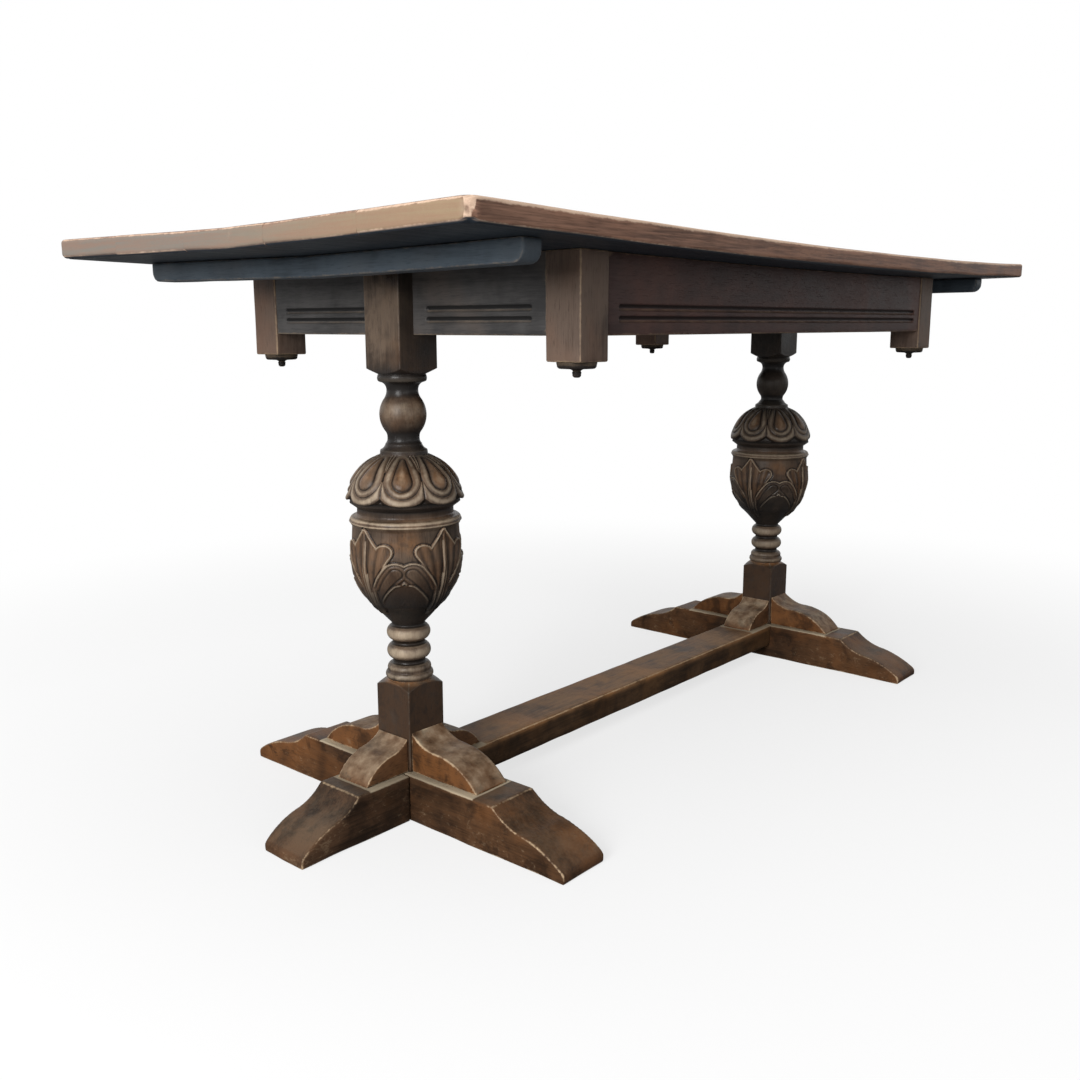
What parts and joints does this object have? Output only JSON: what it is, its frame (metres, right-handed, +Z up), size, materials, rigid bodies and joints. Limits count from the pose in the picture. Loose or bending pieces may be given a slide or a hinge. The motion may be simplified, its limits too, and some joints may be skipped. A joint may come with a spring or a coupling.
{
  "type": "refectory table",
  "caption": "Dark oak refectory table: boarded top on a fluted frame with corner pendants, carved cup-and-cover columns on ogee cross feet, and a low stretcher.",
  "frame": {"origin": "on the floor below the middle of the top", "axes": "+X along the table's length, from the near pedestal to the far one; +Y across it; +Z up"},
  "size_m": [1.475, 0.75, 0.752],
  "materials": {
    "oak_top": "dark stained oak, satin, edges worn pale",
    "oak_frame": "dark stained oak, satin",
    "oak_column": "dark stained oak, carved, high spots rubbed",
    "oak_base": "dark stained oak, worn arrises",
    "oak_inner": "bare oak",
    "screw_steel": "plain steel"
  },
  "bodies": {
    "root": {"batten_far": "oak_top", "batten_near": "oak_top", "batten_screws": "screw_steel", "bearer": "oak_inner", "bracket_dowels": "oak_inner", "bracket_far_back": "oak_base", "bracket_far_east": "oak_base", "bracket_far_front": "oak_base", "bracket_far_west": "oak_base", "bracket_near_back": "oak_base", "bracket_near_east": "oak_base", "bracket_near_front": "oak_base", "bracket_near_west": "oak_base", "button_screws": "screw_steel", "column_far": "oak_column", "column_near": "oak_column", "column_pegs": "oak_inner", "cross_foot_far": "oak_base", "cross_foot_near": "oak_base", "end_rail_far": "oak_frame", "end_rail_near": "oak_frame", "foot_pegs": "oak_inner", "outer_foot_far": "oak_base", "outer_foot_near": "oak_base", "pendant_far_back": "oak_frame", "pendant_far_front": "oak_frame", "pendant_near_back": "oak_frame", "pendant_near_front": "oak_frame", "post_far_back": "oak_frame", "post_far_front": "oak_frame", "post_near_back": "oak_frame", "post_near_front": "oak_frame", "rail_pegs": "oak_inner", "side_rail_back": "oak_frame", "side_rail_front": "oak_frame", "stretcher": "oak_base", "top_board_1": "oak_top", "top_board_2": "oak_top", "top_board_3": "oak_top", "top_board_4": "oak_top", "top_board_5": "oak_top", "top_buttons": "oak_inner", "top_tongues": "oak_inner"}
  },
  "joints": []
}
